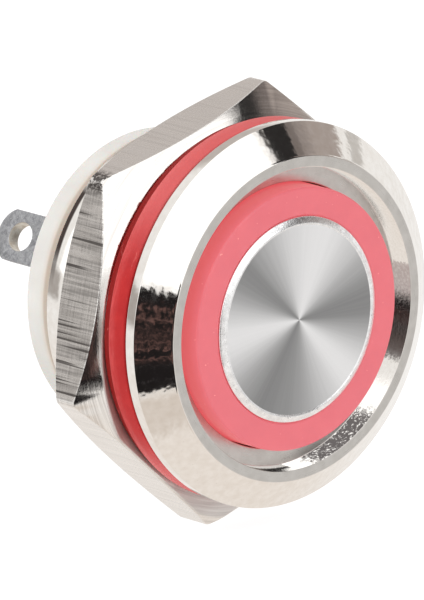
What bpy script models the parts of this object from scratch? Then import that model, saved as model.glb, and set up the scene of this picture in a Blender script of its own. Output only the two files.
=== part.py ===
"""Panel push button with an illuminated ring: metal head, sprung plunger, hexagon nut and solder lugs.

The button's axis is the Y axis. Its face looks towards -Y and its lugs point towards +Y.
The origin is on the axis at the rear face of the head's flange, where the head seats on a panel.
"""
from math import asin, cos, pi, radians, sin, sqrt, tan

import bmesh
import bpy
from mathutils import Matrix, Vector

MM = 0.001

# Head and barrel (turned in one piece)
HEAD_R = 11.25 * MM
LIP_DEPTH = 0.70 * MM
RIM_FRONT = -2.09 * MM
RIM_OUTER_R = 9.46 * MM
RIM_INNER_R = 8.82 * MM
RECESS_DEPTH = 1.35 * MM
GUIDE_BORE_R = 7.85 * MM
SHOULDER_Y = 3.0 * MM
COUNTERBORE_R = 8.2 * MM
BARREL_END_Y = 8.8 * MM
THREAD_CREST_R = 9.5 * MM
THREAD_ROOT_R = 9.12 * MM
THREAD_PITCH = 1.0 * MM

# Panel seal
SEAL_FRONT_Y = 0.25 * MM
SEAL_EDGE_Y = 1.55 * MM
SEAL_SIDE_REAR_Y = 2.02 * MM
SEAL_REAR_Y = 2.2 * MM
SEAL_R = 11.12 * MM

# Hexagon nut
NUT_FRONT_Y = 2.3 * MM
NUT_THICKNESS = 3.8 * MM
NUT_ACROSS_FLATS = 22.4 * MM
NUT_FACE_R = 10.53 * MM
NUT_CHAMFER = radians(29.6)
NUT_FRONT_FACE_R = 11.56 * MM
NUT_FRONT_CHAMFER = radians(31.5)
NUT_FACE_OFFSET = 1.14 * MM
NUT_FACE_OFFSET_ANGLE = radians(145)
NUT_BORE_R = 9.65 * MM
NUT_CORNER_ANGLE = radians(11.9)

# Plunger, cap and stem, which travel together
TRAVEL = 1.5 * MM
RING_R = 7.68 * MM
RING_REAR_Y = 1.1 * MM
POCKET_R = 6.12 * MM
POCKET_FLOOR_Y = -1.0 * MM
PLUNGER_WEB_REAR_Y = 0.3 * MM
PLUNGER_SKIRT_R = 6.0 * MM
CAP_R = 6.0 * MM
CAP_FACE_R = 5.62 * MM
CAP_FACE_Y = -2.3 * MM
STEM_R = 2.3 * MM
STEM_POST_R = 1.5 * MM
STEM_TIP_R = 1.0 * MM

# Board, carrier and spring
BOARD_Y = 3.3 * MM
BOARD_THICKNESS = 0.6 * MM
CARRIER_Y = 4.0 * MM
CARRIER_WEB = 0.9 * MM
INSERT_R = 8.0 * MM
SPRING_R = 3.1 * MM
SPRING_WIRE_R = 0.22 * MM
SPRING_TURNS = 3.5
SPRING_SIDES = 8
SPRING_STEPS_PER_TURN = 20
LED_COUNT = 4
LED_CIRCLE_R = 6.7 * MM
LED_SIZE = (1.5 * MM, 0.5 * MM, 1.1 * MM)
RESISTOR_SIZE = (1.6 * MM, 0.4 * MM, 0.8 * MM)
RESISTOR_CIRCLE_R = 5.1 * MM
LEAD_CIRCLE_R = 5.3 * MM
LEAD_WIDTH = 0.5 * MM
LEAD_HOLE_WIDTH = 0.9 * MM
LEAD_END_Y = 8.4 * MM

# Stem guide and its clip
GROOVE_Y = 5.0 * MM
GROOVE_END_Y = 5.6 * MM
GROOVE_R = 1.7 * MM
CLIP_R = 2.9 * MM
CLIP_OPENING = radians(60)

# Contacts: the moving strip on the stem and the fixed arms of the two lugs
STRIP_Y = 6.05 * MM
STRIP_THICKNESS = 0.4 * MM
STRIP_HALF_LENGTH = 5.5 * MM
STRIP_HALF_WIDTH = 1.3 * MM
CONTACT_R = 4.4 * MM
CONTACT_RISE = 0.4 * MM
CONTACT_OVERTRAVEL_GAP = 0.1 * MM
MOVING_CONTACT_Y = STRIP_Y + STRIP_THICKNESS + CONTACT_RISE
FIXED_CONTACT_Y = MOVING_CONTACT_Y + TRAVEL + CONTACT_OVERTRAVEL_GAP
ARM_Y = FIXED_CONTACT_Y + 0.38 * MM
ARM_THICKNESS = 0.6 * MM
ARM_WIDTH = 2.4 * MM
ARM_INNER_R = 3.4 * MM
RIVET_SHANK_R = 0.4 * MM
RIVET_HOLE_R = 0.48 * MM
RIVET_FACE_R = 0.85 * MM
RIVET_SET_R = 0.65 * MM
RIVET_SET_HEIGHT = 0.17 * MM
RIVET_EDGE = 0.1 * MM

# Rear base and its terminals
BASE_R = 8.88 * MM
BASE_COLLAR_Y = 7.2 * MM
BASE_FRONT_Y = 9.1 * MM
BASE_REAR_Y = 11.32 * MM
BASE_FLOOR_Y = 9.8 * MM
BASE_POCKET_R = 7.0 * MM
BASE_RECESS_R = 8.2 * MM
SEALANT_DEPTH = 0.7 * MM
LUG_ANGLE = radians(-66.2)
LUG_CENTRE_R = 7.3 * MM
LUG_WIDTH = 3.0 * MM
LUG_THICKNESS = 0.8 * MM
LUG_END_Y = 15.8 * MM
LUG_BULGE = 1.0 * MM
LUG_HOLE_FROM_END = 1.96 * MM
LUG_HOLE_HALF_WIDTH = 0.85 * MM
LUG_HOLE_HALF_LENGTH = 0.95 * MM
LED_PIN_R = 4.6 * MM
LED_PIN_WIDTH = 1.6 * MM
LED_PIN_THICKNESS = 0.5 * MM
LED_PIN_FRONT_Y = 8.75 * MM
LED_PIN_END_Y = 14.6 * MM
LED_PIN_EYE_R = 0.4 * MM
LED_PIN_EYE_FROM_END = 0.95 * MM
SLOT_LENGTH = 10 * MM
TERMINAL_FREE_Y = BASE_REAR_Y + 0.2 * MM
BLADE_START_Y = 8.0 * MM
SHOULDER_STEP = 0.05 * MM
CUTTER_THICKNESS = 1.0 * MM

SMALL_GAP = 0.08 * MM
FIT_GAP = 0.15 * MM
FINE_STEPS = 60
COARSE_STEPS = 32


def remove_everything():
    for old in list(bpy.data.objects):
        bpy.data.objects.remove(old, do_unlink=True)


def material(name, color, roughness, metallic=0.0):
    found = bpy.data.materials.get(name)
    if found:
        return found
    made = bpy.data.materials.new(name)
    made.use_nodes = True
    shader = made.node_tree.nodes["Principled BSDF"]
    shader.inputs["Base Color"].default_value = (*color, 1.0)
    shader.inputs["Roughness"].default_value = roughness
    shader.inputs["Metallic"].default_value = metallic
    return made


def polished_nickel():
    return material("polished_nickel", (0.78, 0.75, 0.71), 0.12, 1.0)


def spun_stainless():
    return material("spun_stainless", (0.66, 0.66, 0.66), 0.28, 1.0)


def red_silicone():
    return material("red_silicone", (0.62, 0.07, 0.06), 0.45)


def black_rubber():
    return material("black_rubber", (0.03, 0.03, 0.03), 0.6)


def translucent_red_plastic():
    return material("translucent_red_plastic", (0.85, 0.20, 0.22), 0.35)


def white_nylon():
    return material("white_nylon", (0.82, 0.80, 0.76), 0.5)


def black_nylon():
    return material("black_nylon", (0.05, 0.05, 0.055), 0.5)


def natural_acetal():
    return material("natural_acetal", (0.85, 0.84, 0.80), 0.4)


def tinned_brass():
    return material("tinned_brass", (0.52, 0.52, 0.53), 0.38, 1.0)


def contact_silver():
    return material("contact_silver", (0.86, 0.85, 0.82), 0.25, 1.0)


def contact_bronze():
    return material("contact_bronze", (0.78, 0.50, 0.30), 0.3, 1.0)


def spring_steel():
    return material("spring_steel", (0.55, 0.55, 0.56), 0.3, 1.0)


def board_laminate():
    return material("board_laminate", (0.06, 0.25, 0.12), 0.5)


def led_lens():
    return material("led_lens", (0.90, 0.86, 0.70), 0.3)


def sealant_epoxy():
    return material("sealant_epoxy", (0.12, 0.12, 0.12), 0.35)


def new_object(name, bm, finish):
    """Turn a closed bmesh into a named object, smooth apart from its sharp edges."""
    bmesh.ops.recalc_face_normals(bm, faces=bm.faces)
    mesh = bpy.data.meshes.new(name)
    bm.to_mesh(mesh)
    bm.free()
    mesh.shade_smooth()
    mesh.set_sharp_from_angle(angle=radians(30))
    obj = bpy.data.objects.new(name, mesh)
    bpy.context.collection.objects.link(obj)
    mesh.materials.append(finish)
    return obj


def turned(name, outline, finish, steps=COARSE_STEPS):
    """A body of revolution about Y from a closed outline of (radius, y) points."""
    bm = bmesh.new()
    points = [bm.verts.new((r, y, 0.0)) for r, y in outline]
    count = len(points)
    edges = [bm.edges.new((points[i], points[(i + 1) % count])) for i in range(count)]
    on_axis = [e for e in edges if max(v.co.x for v in e.verts) < 1e-9]
    bmesh.ops.delete(bm, geom=on_axis, context="EDGES_FACES")
    profile = bm.verts[:] + bm.edges[:]
    bmesh.ops.spin(bm, geom=profile, axis=(0, 1, 0), cent=(0, 0, 0), angle=2 * pi, steps=steps)
    bmesh.ops.remove_doubles(bm, verts=bm.verts, dist=1e-7)
    bmesh.ops.dissolve_degenerate(bm, edges=bm.edges, dist=1e-8)
    return new_object(name, bm, finish)


def lofted(name, rings, finish):
    """Quads between successive rings of points, with a flat face at each end."""
    bm = bmesh.new()
    loops = [[bm.verts.new(p) for p in ring] for ring in rings]
    sides = len(loops[0])
    bm.faces.new(loops[0])
    bm.faces.new(loops[-1])
    for near, far in zip(loops, loops[1:]):
        for i in range(sides):
            j = (i + 1) % sides
            bm.faces.new((near[i], near[j], far[j], far[i]))
    return new_object(name, bm, finish)


def around_axis(angle, radius=0.0, y=0.0):
    """Local X runs around the axis, local Y along it and local Z outwards, at an angle from +Z to +X."""
    outward = Vector((sin(angle), 0.0, cos(angle)))
    across = Vector((cos(angle), 0.0, -sin(angle)))
    along = Vector((0.0, 1.0, 0.0))
    turn = Matrix((across, along, outward)).transposed().to_4x4()
    return Matrix.Translation(outward * radius + along * y) @ turn


def block(name, size, place, finish):
    """A box of the given size, with its mesh centred on a place around the axis."""
    bm = bmesh.new()
    bmesh.ops.create_cube(bm, size=1.0)
    bmesh.ops.scale(bm, vec=size, verts=bm.verts)
    bmesh.ops.transform(bm, matrix=place, verts=bm.verts)
    return new_object(name, bm, finish)


def plate(name, outline, thickness, place, finish):
    """A flat plate from an outline in local X and Y, centred on local Z."""
    bm = bmesh.new()
    face = bm.faces.new([bm.verts.new((x, y, -thickness / 2)) for x, y in outline])
    grown = bmesh.ops.extrude_face_region(bm, geom=[face])
    moved = [g for g in grown["geom"] if isinstance(g, bmesh.types.BMVert)]
    bmesh.ops.translate(bm, vec=(0, 0, thickness), verts=moved)
    bmesh.ops.transform(bm, matrix=place, verts=bm.verts)
    return new_object(name, bm, finish)


def combine(obj, tool, operation):
    """Apply an exact Boolean, and remove the tool body."""
    change = obj.modifiers.new("combine", "BOOLEAN")
    change.operation = operation
    change.solver = "EXACT"
    change.object = tool
    bpy.context.view_layer.update()
    evaluated = obj.evaluated_get(bpy.context.evaluated_depsgraph_get())
    mesh = bpy.data.meshes.new_from_object(evaluated)
    obj.modifiers.clear()
    finish = obj.data.materials[0]
    obj.data = mesh
    mesh.materials.clear()
    mesh.materials.append(finish)
    mesh.shade_smooth()
    mesh.set_sharp_from_angle(angle=radians(30))
    bpy.data.objects.remove(tool, do_unlink=True)


def arc(centre_x, centre_y, rx, ry, start, end, steps):
    """Points along part of an ellipse, both ends included."""
    angles = [start + (end - start) * i / steps for i in range(steps + 1)]
    return [(centre_x + rx * cos(a), centre_y + ry * sin(a)) for a in angles]


def closed_ellipse(centre_x, centre_y, rx, ry, sides):
    """Points all round an ellipse, with the first one not repeated."""
    return arc(centre_x, centre_y, rx, ry, 0, 2 * pi, sides)[:-1]


# ---------------------------------------------------------------- housing, seal and nut

def thread_outline():
    """Outer side of the barrel, front to rear: a relief behind the flange, then thread grooves."""
    points = [(THREAD_ROOT_R, 0.0), (THREAD_ROOT_R, 0.45 * MM), (THREAD_CREST_R, 0.8 * MM)]
    groove_half = 0.26 * MM
    y = 1.25 * MM
    while y < BARREL_END_Y - 0.4 * MM:
        points.append((THREAD_CREST_R, y - groove_half))
        points.append((THREAD_ROOT_R, y))
        points.append((THREAD_CREST_R, y + groove_half))
        y += THREAD_PITCH
    points.append((THREAD_CREST_R, BARREL_END_Y - 0.12 * MM))
    points.append((THREAD_CREST_R - 0.12 * MM, BARREL_END_Y))
    return points


def bezel_housing():
    floor_y = RIM_FRONT + RECESS_DEPTH
    outline = [(COUNTERBORE_R, BARREL_END_Y), (COUNTERBORE_R, SHOULDER_Y), (GUIDE_BORE_R, SHOULDER_Y)]
    outline += [(GUIDE_BORE_R, floor_y), (RIM_INNER_R, floor_y)]
    outline += [(RIM_INNER_R, RIM_FRONT + 0.08 * MM), (RIM_INNER_R + 0.08 * MM, RIM_FRONT)]
    outline += [(RIM_OUTER_R - 0.1 * MM, RIM_FRONT), (RIM_OUTER_R + 0.12 * MM, RIM_FRONT + 0.1 * MM)]
    outline += [(HEAD_R - 0.06 * MM, -LIP_DEPTH - 0.03 * MM), (HEAD_R, -LIP_DEPTH + 0.04 * MM)]
    outline += [(HEAD_R, -0.08 * MM), (HEAD_R - 0.08 * MM, 0.0)]
    return turned("bezel_housing", outline + thread_outline(), polished_nickel(), FINE_STEPS)


def panel_seal():
    inner = NUT_BORE_R
    outline = [(inner, SEAL_FRONT_Y), (SEAL_R - 0.1 * MM, SEAL_FRONT_Y), (SEAL_R, SEAL_FRONT_Y + 0.1 * MM)]
    outline += [(SEAL_R + 0.05 * MM, SEAL_EDGE_Y - 0.15 * MM), (SEAL_R, SEAL_EDGE_Y)]
    outline += [(SEAL_R - 0.1 * MM, SEAL_SIDE_REAR_Y), (SEAL_R - 0.72 * MM, SEAL_SIDE_REAR_Y + 0.05 * MM)]
    outline += [(SEAL_R - 0.72 * MM, SEAL_REAR_Y), (inner, SEAL_REAR_Y)]
    return turned("panel_seal", outline, red_silicone(), FINE_STEPS)


def nut_envelope(rear_y):
    """The turned shape of the nut: a cone on its rear face, and its threaded bore left plain."""
    corner_r = NUT_ACROSS_FLATS / sqrt(3) + 0.5 * MM
    drop = (corner_r - NUT_FACE_R) * tan(NUT_CHAMFER)
    sink = 0.35 * MM
    outline = [(NUT_BORE_R, NUT_FRONT_Y + sink), (NUT_BORE_R + sink, NUT_FRONT_Y)]
    outline += [(corner_r, NUT_FRONT_Y), (corner_r, rear_y - drop), (NUT_FACE_R, rear_y)]
    outline += [(NUT_BORE_R + sink, rear_y), (NUT_BORE_R, rear_y - sink)]
    return turned("nut_envelope", outline, polished_nickel(), FINE_STEPS)


def nut_front_cone(rear_y):
    """The cone that chamfers the front of the nut; it was cut off centre, so it is deeper on one side."""
    lead = 1.0 * MM
    wide_r = 15.0 * MM
    slope = tan(NUT_FRONT_CHAMFER)
    outline = [(0, NUT_FRONT_Y - lead), (NUT_FRONT_FACE_R - lead / slope, NUT_FRONT_Y - lead)]
    outline += [(wide_r, NUT_FRONT_Y + (wide_r - NUT_FRONT_FACE_R) * slope)]
    outline += [(wide_r, rear_y + lead), (0, rear_y + lead)]
    cone = turned("nut_front_cone", outline, polished_nickel(), FINE_STEPS)
    aside = Vector((sin(NUT_FACE_OFFSET_ANGLE), 0, cos(NUT_FACE_OFFSET_ANGLE))) * NUT_FACE_OFFSET
    cone.data.transform(Matrix.Translation(aside))
    return cone


def hex_nut():
    rear_y = NUT_FRONT_Y + NUT_THICKNESS
    corner_r = NUT_ACROSS_FLATS / sqrt(3)
    angles = [NUT_CORNER_ANGLE + i * pi / 3 for i in range(6)]
    rings = []
    for y in (NUT_FRONT_Y - 1 * MM, rear_y + 1 * MM):
        rings.append([(corner_r * sin(a), y, corner_r * cos(a)) for a in angles])
    nut = lofted("hex_nut", rings, polished_nickel())
    combine(nut, nut_envelope(rear_y), "INTERSECT")
    combine(nut, nut_front_cone(rear_y), "INTERSECT")
    return nut


# ---------------------------------------------------------------- pieces that travel

def light_ring_plunger():
    chamfer = 0.12 * MM
    bevel = 0.25 * MM
    groove_r = 6.95 * MM
    outline = [(STEM_POST_R + FIT_GAP, POCKET_FLOOR_Y), (POCKET_R, POCKET_FLOOR_Y)]
    outline += [(POCKET_R, RIM_FRONT + bevel), (POCKET_R + bevel, RIM_FRONT)]
    outline += [(RING_R - chamfer, RIM_FRONT), (RING_R, RIM_FRONT + chamfer)]
    outline += [(RING_R, 0.02 * MM), (groove_r, 0.02 * MM), (groove_r, 0.88 * MM), (RING_R, 0.88 * MM)]
    outline += [(RING_R, RING_REAR_Y), (PLUNGER_SKIRT_R, RING_REAR_Y)]
    outline += [(PLUNGER_SKIRT_R, PLUNGER_WEB_REAR_Y), (STEM_POST_R + FIT_GAP, PLUNGER_WEB_REAR_Y)]
    return turned("light_ring_plunger", outline, translucent_red_plastic(), FINE_STEPS)


def button_cap():
    rear_y = POCKET_FLOOR_Y - 0.12 * MM
    shoulder_y = CAP_FACE_Y + 0.17 * MM
    outline = [(0, CAP_FACE_Y), (CAP_FACE_R, CAP_FACE_Y), (CAP_R, shoulder_y), (CAP_R, rear_y)]
    outline += [(5.0 * MM, rear_y), (4.7 * MM, rear_y - 0.3 * MM), (0, rear_y - 0.3 * MM)]
    return turned("button_cap", outline, spun_stainless(), FINE_STEPS)


def plunger_oring():
    section = closed_ellipse(7.38 * MM, 0.45 * MM, 0.34 * MM, 0.34 * MM, 10)
    return turned("plunger_oring", section, black_rubber())


def plunger_stem():
    """Drive stem: a post in the plunger, a guided shank, a clip groove and a heat-staked tip."""
    collar_end = STRIP_Y - SMALL_GAP
    strip_end = STRIP_Y + STRIP_THICKNESS + SMALL_GAP
    top = POCKET_FLOOR_Y + SMALL_GAP
    shank = PLUNGER_WEB_REAR_Y + FIT_GAP
    outline = [(0, top), (STEM_POST_R, top), (STEM_POST_R, shank), (STEM_R, shank), (STEM_R, GROOVE_Y)]
    outline += [(GROOVE_R, GROOVE_Y), (GROOVE_R, GROOVE_END_Y), (STEM_R, GROOVE_END_Y)]
    outline.append((STEM_R, collar_end))
    outline += [(STEM_TIP_R, collar_end), (STEM_TIP_R, strip_end), (1.5 * MM, strip_end)]
    outline += [(1.4 * MM, strip_end + 0.22 * MM), (0, strip_end + 0.3 * MM)]
    return turned("plunger_stem", outline, natural_acetal())


def stem_clip():
    """Open spring ring in the stem's groove, which stops the plunger coming out forwards."""
    inner = GROOVE_R + 0.1 * MM
    front = GROOVE_Y + 0.06 * MM
    rear = GROOVE_END_Y - 0.06 * MM
    steps = 30
    rings = []
    for i in range(steps + 1):
        a = CLIP_OPENING / 2 + (2 * pi - CLIP_OPENING) * i / steps
        corners = ((inner, front), (CLIP_R, front), (CLIP_R, rear), (inner, rear))
        rings.append([(r * sin(a), y, r * cos(a)) for r, y in corners])
    return lofted("stem_clip", rings, spring_steel())


def contact_bridge():
    """Springy strip with round ends, drilled for the stem's tip and for its two rivets."""
    reach = STRIP_HALF_LENGTH - STRIP_HALF_WIDTH
    outline = arc(reach, 0, STRIP_HALF_WIDTH, STRIP_HALF_WIDTH, -pi / 2, pi / 2, 8)
    outline += arc(-reach, 0, STRIP_HALF_WIDTH, STRIP_HALF_WIDTH, pi / 2, 3 * pi / 2, 8)
    across = Matrix.Translation((0, STRIP_Y + STRIP_THICKNESS / 2, 0))
    flat = across @ Matrix.Rotation(pi / 2 + LUG_ANGLE, 4, "Y") @ Matrix.Rotation(pi / 2, 4, "X")
    strip = plate("contact_bridge", outline, STRIP_THICKNESS, flat, contact_bronze())
    combine(strip, hole_cutter(STEM_TIP_R + SMALL_GAP, STRIP_Y, 0.0), "DIFFERENCE")
    for offset in (CONTACT_R, -CONTACT_R):
        combine(strip, hole_cutter(RIVET_HOLE_R, STRIP_Y, offset), "DIFFERENCE")
    return strip


def hole_cutter(radius, y, offset):
    """A drill body along Y whose axis lies at an offset from the centre, towards the lug's side."""
    rings = []
    for depth in (y - 1 * MM, y + 1.5 * MM):
        centre = Vector((offset * sin(LUG_ANGLE), depth, offset * cos(LUG_ANGLE)))
        turns = [2 * pi * i / 24 for i in range(24)]
        rings.append([centre + Vector((radius * cos(a), 0, radius * sin(a))) for a in turns])
    return lofted("drill", rings, contact_bronze())


def rivet(name, face_y, strip_y, thickness, side):
    """A silver rivet through a strip: a broad contact head on one side, a small set head on the other."""
    front, rear = strip_y - SMALL_GAP, strip_y + thickness + SMALL_GAP
    faces_forward = face_y < strip_y
    near, far = (front, rear) if faces_forward else (rear, front)
    inwards = 1 if faces_forward else -1
    set_y = far + inwards * RIVET_SET_HEIGHT
    outline = [(0, face_y), (RIVET_FACE_R - RIVET_EDGE, face_y)]
    outline += [(RIVET_FACE_R, face_y + inwards * RIVET_EDGE), (RIVET_FACE_R, near)]
    outline += [(RIVET_SHANK_R, near), (RIVET_SHANK_R, far), (RIVET_SET_R, far)]
    outline += [(RIVET_SET_R - RIVET_EDGE, set_y), (0, set_y)]
    made = turned(name, outline, contact_silver(), 16)
    shift = Vector((sin(LUG_ANGLE), 0, cos(LUG_ANGLE))) * CONTACT_R * side
    made.data.transform(Matrix.Translation(shift))
    return made


# ---------------------------------------------------------------- spring, board and carrier

def return_spring():
    """Round wire wound around the stem, between the plunger's web and the carrier."""
    start = PLUNGER_WEB_REAR_Y + FIT_GAP + SPRING_WIRE_R
    end = CARRIER_Y - FIT_GAP - SPRING_WIRE_R
    steps = int(SPRING_TURNS * SPRING_STEPS_PER_TURN)
    section = closed_ellipse(SPRING_R, 0.0, SPRING_WIRE_R, SPRING_WIRE_R, SPRING_SIDES)
    rings = []
    for i in range(steps + 1):
        a = 2 * pi * SPRING_TURNS * i / steps
        y = start + (end - start) * i / steps
        rings.append([(r * sin(a), y + rise, r * cos(a)) for r, rise in section])
    return lofted("return_spring", rings, spring_steel())


def led_board():
    """Ring-shaped board with two holes for the leads."""
    inner = 3.65 * MM
    end = BOARD_Y + BOARD_THICKNESS
    outline = [(inner, BOARD_Y), (INSERT_R, BOARD_Y), (INSERT_R, end), (inner, end)]
    board = turned("led_board", outline, board_laminate())
    lead_holes(board, BOARD_Y)
    return board


def led_pin_angles():
    return (LUG_ANGLE + pi / 2, LUG_ANGLE - pi / 2)


def lead_holes(obj, y):
    """Two square holes for the leads, through a flat web at a place along the axis."""
    finish = obj.data.materials[0]
    size = (LEAD_HOLE_WIDTH, 4 * MM, LEAD_HOLE_WIDTH)
    for angle in led_pin_angles():
        tool = block("hole", size, around_axis(angle, LEAD_CIRCLE_R, y), finish)
        combine(obj, tool, "DIFFERENCE")


def led_chips():
    """Surface-mounted chips on the front of the board, facing the light ring."""
    centre_y = BOARD_Y - SMALL_GAP - LED_SIZE[1] / 2
    for i in range(LED_COUNT):
        angle = LUG_ANGLE + radians(45) + i * 2 * pi / LED_COUNT
        place = around_axis(angle, LED_CIRCLE_R, centre_y)
        block(f"led_chip_{i + 1}", LED_SIZE, place, led_lens())


def led_resistor():
    centre_y = BOARD_Y - SMALL_GAP - RESISTOR_SIZE[1] / 2
    place = around_axis(LUG_ANGLE, RESISTOR_CIRCLE_R, centre_y)
    return block("led_resistor", RESISTOR_SIZE, place, black_nylon())


def led_leads():
    """Square wires that carry the board's supply back to the LED pins through the carrier."""
    front = BOARD_Y - 0.3 * MM
    size = (LEAD_WIDTH, LEAD_END_Y - front, LEAD_WIDTH)
    for name, angle in zip(("led_lead_plus", "led_lead_minus"), led_pin_angles()):
        place = around_axis(angle, LEAD_CIRCLE_R, (front + LEAD_END_Y) / 2)
        block(name, size, place, tinned_brass())


def guide_carrier():
    """Moulded cup that guides the stem, backs the board and seats the return spring."""
    web_end = CARRIER_Y + CARRIER_WEB
    skirt_end = BASE_COLLAR_Y - FIT_GAP
    skirt_inner = INSERT_R - 0.8 * MM
    guide_r = STEM_R + 0.12 * MM
    outline = [(guide_r, CARRIER_Y), (INSERT_R, CARRIER_Y), (INSERT_R, skirt_end)]
    outline += [(skirt_inner, skirt_end), (skirt_inner, web_end), (guide_r, web_end)]
    carrier = turned("guide_carrier", outline, black_nylon())
    lead_holes(carrier, CARRIER_Y)
    return carrier


# ---------------------------------------------------------------- base and terminals

def shoulder(obj, angle, radius, thickness):
    """Thin a terminal's blade on both faces where the base holds it, which leaves a shoulder outside."""
    depth = TERMINAL_FREE_Y - BLADE_START_Y
    centre_y = (TERMINAL_FREE_Y + BLADE_START_Y) / 2
    off_centre = thickness / 2 - SHOULDER_STEP + CUTTER_THICKNESS / 2
    for side in (1, -1):
        place = around_axis(angle, radius + side * off_centre, centre_y)
        cutter = block("cutter", (LUG_WIDTH + 1 * MM, depth, CUTTER_THICKNESS), place, tinned_brass())
        combine(obj, cutter, "DIFFERENCE")


def terminal_slots(obj, clearance):
    """Cut the two lug slots and the two LED pin slots through a body, along the axis."""
    finish = obj.data.materials[0]
    lug = (LUG_WIDTH + 2 * clearance, SLOT_LENGTH, LUG_THICKNESS + 2 * clearance)
    pin = (LED_PIN_WIDTH + 2 * clearance, SLOT_LENGTH, LED_PIN_THICKNESS + 2 * clearance)
    for angle in (LUG_ANGLE, LUG_ANGLE + pi):
        tool = block("slot", lug, around_axis(angle, LUG_CENTRE_R, BASE_FLOOR_Y), finish)
        combine(obj, tool, "DIFFERENCE")
    for angle in led_pin_angles():
        tool = block("slot", pin, around_axis(angle, LED_PIN_R, BASE_FLOOR_Y), finish)
        combine(obj, tool, "DIFFERENCE")


def terminal_base():
    """Moulded plug: a collar inside the barrel, a rim behind it and a shallow recess at the rear."""
    recess_y = BASE_REAR_Y - SEALANT_DEPTH
    edge = 0.15 * MM
    outline = [(0, BASE_FLOOR_Y), (BASE_POCKET_R, BASE_FLOOR_Y), (BASE_POCKET_R, BASE_COLLAR_Y)]
    outline += [(INSERT_R, BASE_COLLAR_Y), (INSERT_R, BASE_FRONT_Y)]
    outline += [(BASE_R - edge, BASE_FRONT_Y), (BASE_R, BASE_FRONT_Y + edge)]
    outline += [(BASE_R, BASE_REAR_Y - edge), (BASE_R - edge, BASE_REAR_Y)]
    outline += [(BASE_RECESS_R, BASE_REAR_Y), (BASE_RECESS_R, recess_y), (0, recess_y)]
    base = turned("terminal_base", outline, white_nylon(), FINE_STEPS)
    terminal_slots(base, FIT_GAP)
    return base


def rear_sealant():
    """Compound that fills the base's rear recess around the terminals."""
    front = BASE_REAR_Y - SEALANT_DEPTH + SMALL_GAP
    rear = BASE_REAR_Y - 0.1 * MM
    edge_r = BASE_RECESS_R - 0.1 * MM
    outline = [(0, front), (edge_r, front), (edge_r, rear), (0, rear)]
    disc = turned("rear_sealant", outline, sealant_epoxy())
    terminal_slots(disc, SMALL_GAP)
    return disc


def lug_outline():
    """Strip with a rounded outer end, in local X (across) and Y (along the axis)."""
    half = LUG_WIDTH / 2
    corner_y = LUG_END_Y - LUG_BULGE
    end_r = (half ** 2 + LUG_BULGE ** 2) / (2 * LUG_BULGE)
    reach = asin(half / end_r)
    centre_y = LUG_END_Y - end_r
    start = pi / 2 - reach
    points = [(half, ARM_Y), (half, corner_y)]
    points += arc(0, centre_y, end_r, end_r, start, pi - start, 12)[1:-1]
    points += [(-half, corner_y), (-half, ARM_Y)]
    return points


def switch_terminal(name, angle):
    """Solder lug with an eyelet, joined at its inner end to a contact arm that reaches inwards."""
    place = around_axis(angle, LUG_CENTRE_R)
    lug = plate(name, lug_outline(), LUG_THICKNESS, place, tinned_brass())
    hole_y = LUG_END_Y - LUG_HOLE_FROM_END
    oval = closed_ellipse(0, hole_y, LUG_HOLE_HALF_WIDTH, LUG_HOLE_HALF_LENGTH, 24)
    combine(lug, plate("eyelet", oval, 3 * MM, place, tinned_brass()), "DIFFERENCE")
    shoulder(lug, angle, LUG_CENTRE_R, LUG_THICKNESS)
    outer_r = LUG_CENTRE_R + LUG_THICKNESS / 2
    arm_size = (ARM_WIDTH, ARM_THICKNESS, outer_r - ARM_INNER_R)
    arm_place = around_axis(angle, (ARM_INNER_R + outer_r) / 2, ARM_Y + ARM_THICKNESS / 2)
    combine(lug, block("arm", arm_size, arm_place, tinned_brass()), "UNION")
    offset = CONTACT_R if angle == LUG_ANGLE else -CONTACT_R
    combine(lug, hole_cutter(RIVET_HOLE_R, ARM_Y, offset), "DIFFERENCE")


def led_pins():
    """Two narrow pins with round ends and a small eye, which supply the light ring."""
    half = LED_PIN_WIDTH / 2
    shoulder_y = LED_PIN_END_Y - half
    outline = [(half, LED_PIN_FRONT_Y)]
    outline += arc(0, shoulder_y, half, half, 0, pi, 12)
    outline.append((-half, LED_PIN_FRONT_Y))
    eye = closed_ellipse(0, LED_PIN_END_Y - LED_PIN_EYE_FROM_END, LED_PIN_EYE_R, LED_PIN_EYE_R, 16)
    for name, angle in zip(("led_pin_plus", "led_pin_minus"), led_pin_angles()):
        place = around_axis(angle, LED_PIN_R)
        pin = plate(name, outline, LED_PIN_THICKNESS, place, tinned_brass())
        combine(pin, plate("eye", eye, 3 * MM, place, tinned_brass()), "DIFFERENCE")
        shoulder(pin, angle, LED_PIN_R, LED_PIN_THICKNESS)


# ---------------------------------------------------------------- joints

def carried_by(parent_name, location, children):
    """Parent a moving group to an empty that lies on its joint's axis."""
    empty = bpy.data.objects.new(parent_name, None)
    empty.location = location
    bpy.context.collection.objects.link(empty)
    bpy.context.view_layer.update()
    for child in children:
        child.parent = empty
        child.matrix_parent_inverse = empty.matrix_world.inverted()


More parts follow.
